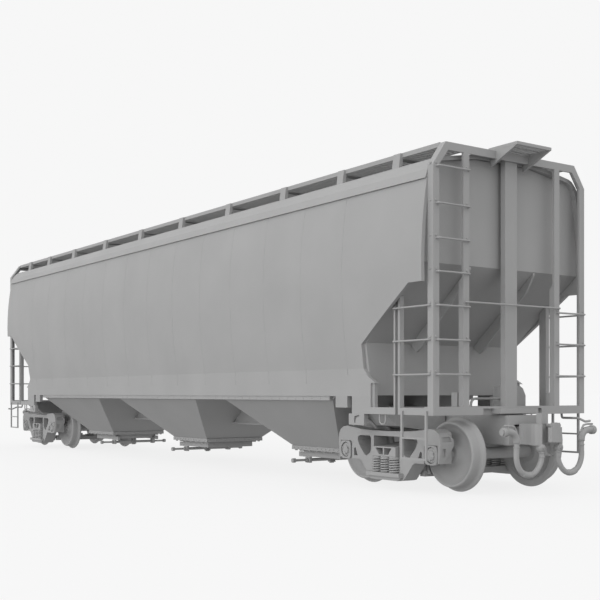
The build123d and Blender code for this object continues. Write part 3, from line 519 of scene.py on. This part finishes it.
BEARING = [(10.5, 0.7), (10.5, 1.15), (10.75, 1.3), (12.6, 1.3), (12.66, 1.1), (12.95, 1.08), (13.0, 0.98),
           (13.0, 0.78), (13.1, 0.74), (13.22, 0.6), (13.25, 0.3), (13.25, 0.0)]


ON_AXIS = 0.001
CAP_BOLTS = 3
CAP_BOLT_CIRCLE = 0.6
CAP_BOLT_Y = 13.05
CAP_BOLT_R = 0.19
CAP_BOLT_HIGH = 0.24
CREASE = 34
FACE_Y = (12.72, 13.12)
FACE_BORE = 1.2
FACE_HALF = (1.33, 1.42)
FACE_SQUARE = 0.45
FACE_SIDES = 48


def add_turned(mesh, centre, profile, flip, closed, sides=96):
    """Shape turned about an axis along Y from (y, r) points. An open profile gets flat end caps."""
    rings = []
    for y, r in profile:
        if r < ON_AXIS:
            rings.append([mesh.verts.new((centre[0] * MM, (centre[1] + flip * y) * MM, centre[2] * MM))])
            continue
        ring = []
        for k in range(sides):
            turn = 2 * math.pi * k / sides
            ring.append(mesh.verts.new(((centre[0] + r * math.cos(turn)) * MM,
                                        (centre[1] + flip * y) * MM,
                                        (centre[2] + r * math.sin(turn)) * MM)))
        rings.append(ring)
    pairs = list(zip(rings[:-1], rings[1:]))
    if closed:
        pairs.append((rings[-1], rings[0]))
    for low, high in pairs:
        for k in range(sides):
            j = (k + 1) % sides
            if len(high) == 1:
                mesh.faces.new((low[k], low[j], high[0]))
            else:
                mesh.faces.new((low[k], low[j], high[j], high[k]))
    if not closed:
        mesh.faces.new(list(reversed(rings[0])))
        if len(rings[-1]) > 1:
            mesh.faces.new(rings[-1])


def wheelset_shapes():
    """Smooth turned wheels, axles and bearings with bolted end caps."""
    for end, way in ENDS:
        for number, dx in (("1", AXLE_DX), ("2", -AXLE_DX)):
            mesh = bmesh.new()
            centre = (way * (TRUCK_X + dx), 0, AXLE_Z)
            add_turned(mesh, centre, AXLE, 1, False, 48)
            for side in (-1, 1):
                add_turned(mesh, centre, WHEEL, side, True)
                add_turned(mesh, centre, BEARING, side, False, 48)
                for bolt in range(CAP_BOLTS):
                    turn = 2 * math.pi * (bolt + 0.25) / CAP_BOLTS
                    spot = (centre[0] + CAP_BOLT_CIRCLE * math.cos(turn), side * CAP_BOLT_Y,
                            AXLE_Z + CAP_BOLT_CIRCLE * math.sin(turn))
                    add_disc(mesh, spot, (0, side, 0), CAP_BOLT_R, CAP_BOLT_HIGH, 6)
            name = "wheelset_" + end + number
            piece = finish_piece("turned_" + name, mesh, name, "wheel_grey", (name,), smooth=True)
            crease = piece.modifiers.new("crease", "EDGE_SPLIT")
            crease.split_angle = math.radians(CREASE)


def face_point(turn, outer):
    """Point round a bearing, on its bore or on the adapter's rounded square edge."""
    across = math.cos(turn)
    up = math.sin(turn)
    if not outer:
        return FACE_BORE * across, FACE_BORE * up
    return (FACE_HALF[0] * math.copysign(abs(across) ** FACE_SQUARE, across),
            FACE_HALF[1] * math.copysign(abs(up) ** FACE_SQUARE, up))


def bearing_faces():
    """Rounded adapter faces round the bearing ends of both trucks."""
    inner_y, outer_y = FACE_Y
    for end, way in ENDS:
        mesh = bmesh.new()
        for dx in (-AXLE_DX, AXLE_DX):
            for side in (-1, 1):
                rings = []
                for y, outer in ((inner_y, False), (outer_y, False), (outer_y, True), (inner_y, True)):
                    ring = []
                    for k in range(FACE_SIDES):
                        x, z = face_point(2 * math.pi * k / FACE_SIDES, outer)
                        ring.append(mesh.verts.new(((way * TRUCK_X + dx + x) * MM, side * y * MM,
                                                    (AXLE_Z + z) * MM)))
                    rings.append(ring)
                add_bands(mesh, rings + rings[:1])
        finish_piece("bearing_faces_" + end, mesh, "truck_" + end, "truck_grey")


# ---------------------------------------------------------------- rivets and air hoses

BAYS = (-46.2, 0.0, 46.2)
HOSE_X = 94.07


RIVET_DOME = 0.7
SILL_RIVETS = 53
SILL_RIVET_X = -62.4
SILL_RIVET_STEP = 2.4
SILL_RIVET_YZ = (15.85, 13.7)
SILL_RIVET_SIZE = (0.13, 0.07)
FLANGE_RIVET_STEP = 1.2
FLANGE_RIVET_Z = 4.65
FLANGE_RIVET_SIZE = (0.14, 0.1)
FLANGE_SIDE_RIVETS = 12
FLANGE_SIDE = (-6.6, 6.9)
FLANGE_END_RIVETS = 11
FLANGE_END = (7.4, -6.0)


def add_rivet(mesh, centre, axis, size):
    """Domed rivet head of a (radius, height) size."""
    add_disc(mesh, centre, axis, size[0], size[1], 8, RIVET_DOME)


def rivet_rows():
    """Rivet heads along the side sills and round the outlet flanges."""
    mesh = bmesh.new()
    for side in (-1, 1):
        for step in range(SILL_RIVETS):
            x = SILL_RIVET_X + step * SILL_RIVET_STEP
            add_rivet(mesh, (x, side * SILL_RIVET_YZ[0], SILL_RIVET_YZ[1]), (0, side, 0), SILL_RIVET_SIZE)
        for bay in BAYS:
            for step in range(FLANGE_SIDE_RIVETS):
                x = bay + FLANGE_SIDE[0] + step * FLANGE_RIVET_STEP
                add_rivet(mesh, (x, side * FLANGE_SIDE[1], FLANGE_RIVET_Z), (0, side, 0), FLANGE_RIVET_SIZE)
    for bay in BAYS:
        for way in (-1, 1):
            for step in range(FLANGE_END_RIVETS):
                spot = (bay + way * FLANGE_END[0], FLANGE_END[1] + step * FLANGE_RIVET_STEP, FLANGE_RIVET_Z)
                add_rivet(mesh, spot, (way, 0, 0), FLANGE_RIVET_SIZE)
    finish_piece("rivet_rows", mesh, "car_body", "sheet_grey")


def rounded_path(points, steps=6):
    """Smooth curve through points."""
    points = [Vector(point) for point in points]
    ends = [points[0] * 2 - points[1]] + points + [points[-1] * 2 - points[-2]]
    path = []
    for i in range(1, len(ends) - 2):
        p0, p1, p2, p3 = ends[i - 1:i + 3]
        for step in range(steps):
            t = step / steps
            path.append((p1 * 2 + (p2 - p0) * t + (p0 * 2 - p1 * 5 + p2 * 4 - p3) * t ** 2
                         + (p1 * 3 - p0 - p2 * 3 + p3) * t ** 3) / 2)
    return path + [points[-1]]


HOSE_ROUTE = [(6.8, 8.0), (6.8, 7.2), (6.85, 6.3), (6.85, 5.4), (6.6, 4.5), (6.05, 3.7), (5.2, 3.15),
              (4.3, 3.0), (3.4, 3.15), (2.55, 3.75), (1.95, 4.6), (1.7, 5.5), (1.75, 6.3), (1.85, 6.75)]
HOSE_R = 0.4
SLEEVE = (34, 46)
SLEEVE_R = 0.46
ELBOW_ROUTE = [(6.8, 7.6), (6.95, 8.35), (7.5, 8.95), (8.5, 9.15), (9.5, 9.1)]
ELBOW_R = 0.5
HANDLE_ROUTE = [(6.75, 8.3), (6.85, 9.2), (7.3, 9.85), (8.2, 10.0), (9.3, 9.98)]
HANDLE_R = 0.15
CLAMPS = ((1.7, 5.35), (1.74, 6.0), (6.82, 6.9), (6.8, 7.5))
CLAMP_SIZE = (0.46, 0.2)
COCK_BODY = (8.95, 9.12)
COCK_BODY_SIZE = (0.66, 0.62)
COCK_BODY_DOME = 0.15
COCK_NUT = (9.5, 9.1)
COCK_NUT_SIZE = (0.42, 0.3)
HEAD = (-0.42, 1.85, 6.72)
HEAD_SIZE = (0.6, 0.84)
HEAD_DOME = 0.25
HEAD_HUB = (-0.5, 1.8, 6.8)
HEAD_HUB_SIZE = (0.3, 1.0)
HEAD_HUB_DOME = 0.3


def brake_hoses():
    """Hanging air hoses with angle cocks, handles, clamps and coupling heads."""
    for end, way in ENDS:
        mesh = bmesh.new()
        x = way * HOSE_X
        for side in (-1, 1):
            path = rounded_path([(x, side * y, z) for y, z in HOSE_ROUTE])
            add_tube(mesh, path, HOSE_R, 20)
            add_tube(mesh, path[SLEEVE[0]:SLEEVE[1]], SLEEVE_R, 20)
            elbow = rounded_path([(x, side * y, z) for y, z in ELBOW_ROUTE])
            add_tube(mesh, elbow, ELBOW_R, 20)
            add_disc(mesh, (x, side * COCK_BODY[0], COCK_BODY[1]), (0, side, 0), *COCK_BODY_SIZE, 20,
                     COCK_BODY_DOME)
            add_disc(mesh, (x, side * COCK_NUT[0], COCK_NUT[1]), (0, side, 0), *COCK_NUT_SIZE, 16)
            handle = [(x, side * y, z) for y, z in HANDLE_ROUTE]
            add_tube(mesh, handle, HANDLE_R, 8)
            add_disc(mesh, (x + HEAD[0], side * HEAD[1], HEAD[2]), (1, 0, 0), *HEAD_SIZE, 20, HEAD_DOME)
            add_disc(mesh, (x + HEAD_HUB[0], side * HEAD_HUB[1], HEAD_HUB[2]), (1, 0, 0), *HEAD_HUB_SIZE, 16,
                     HEAD_HUB_DOME)
            for y, z in CLAMPS:
                add_disc(mesh, (x, side * y, z), (0, 0, 1), *CLAMP_SIZE, 20)
        finish_piece("brake_hoses_" + end, mesh, "coupler_" + end, "hose_grey", ("air_hoses_" + end,),
                     smooth=True)


coil_springs()
wheelset_shapes()
bearing_faces()
rivet_rows()
brake_hoses()
walkways()
platform_gratings()
panel_seams()
rung_bolts()
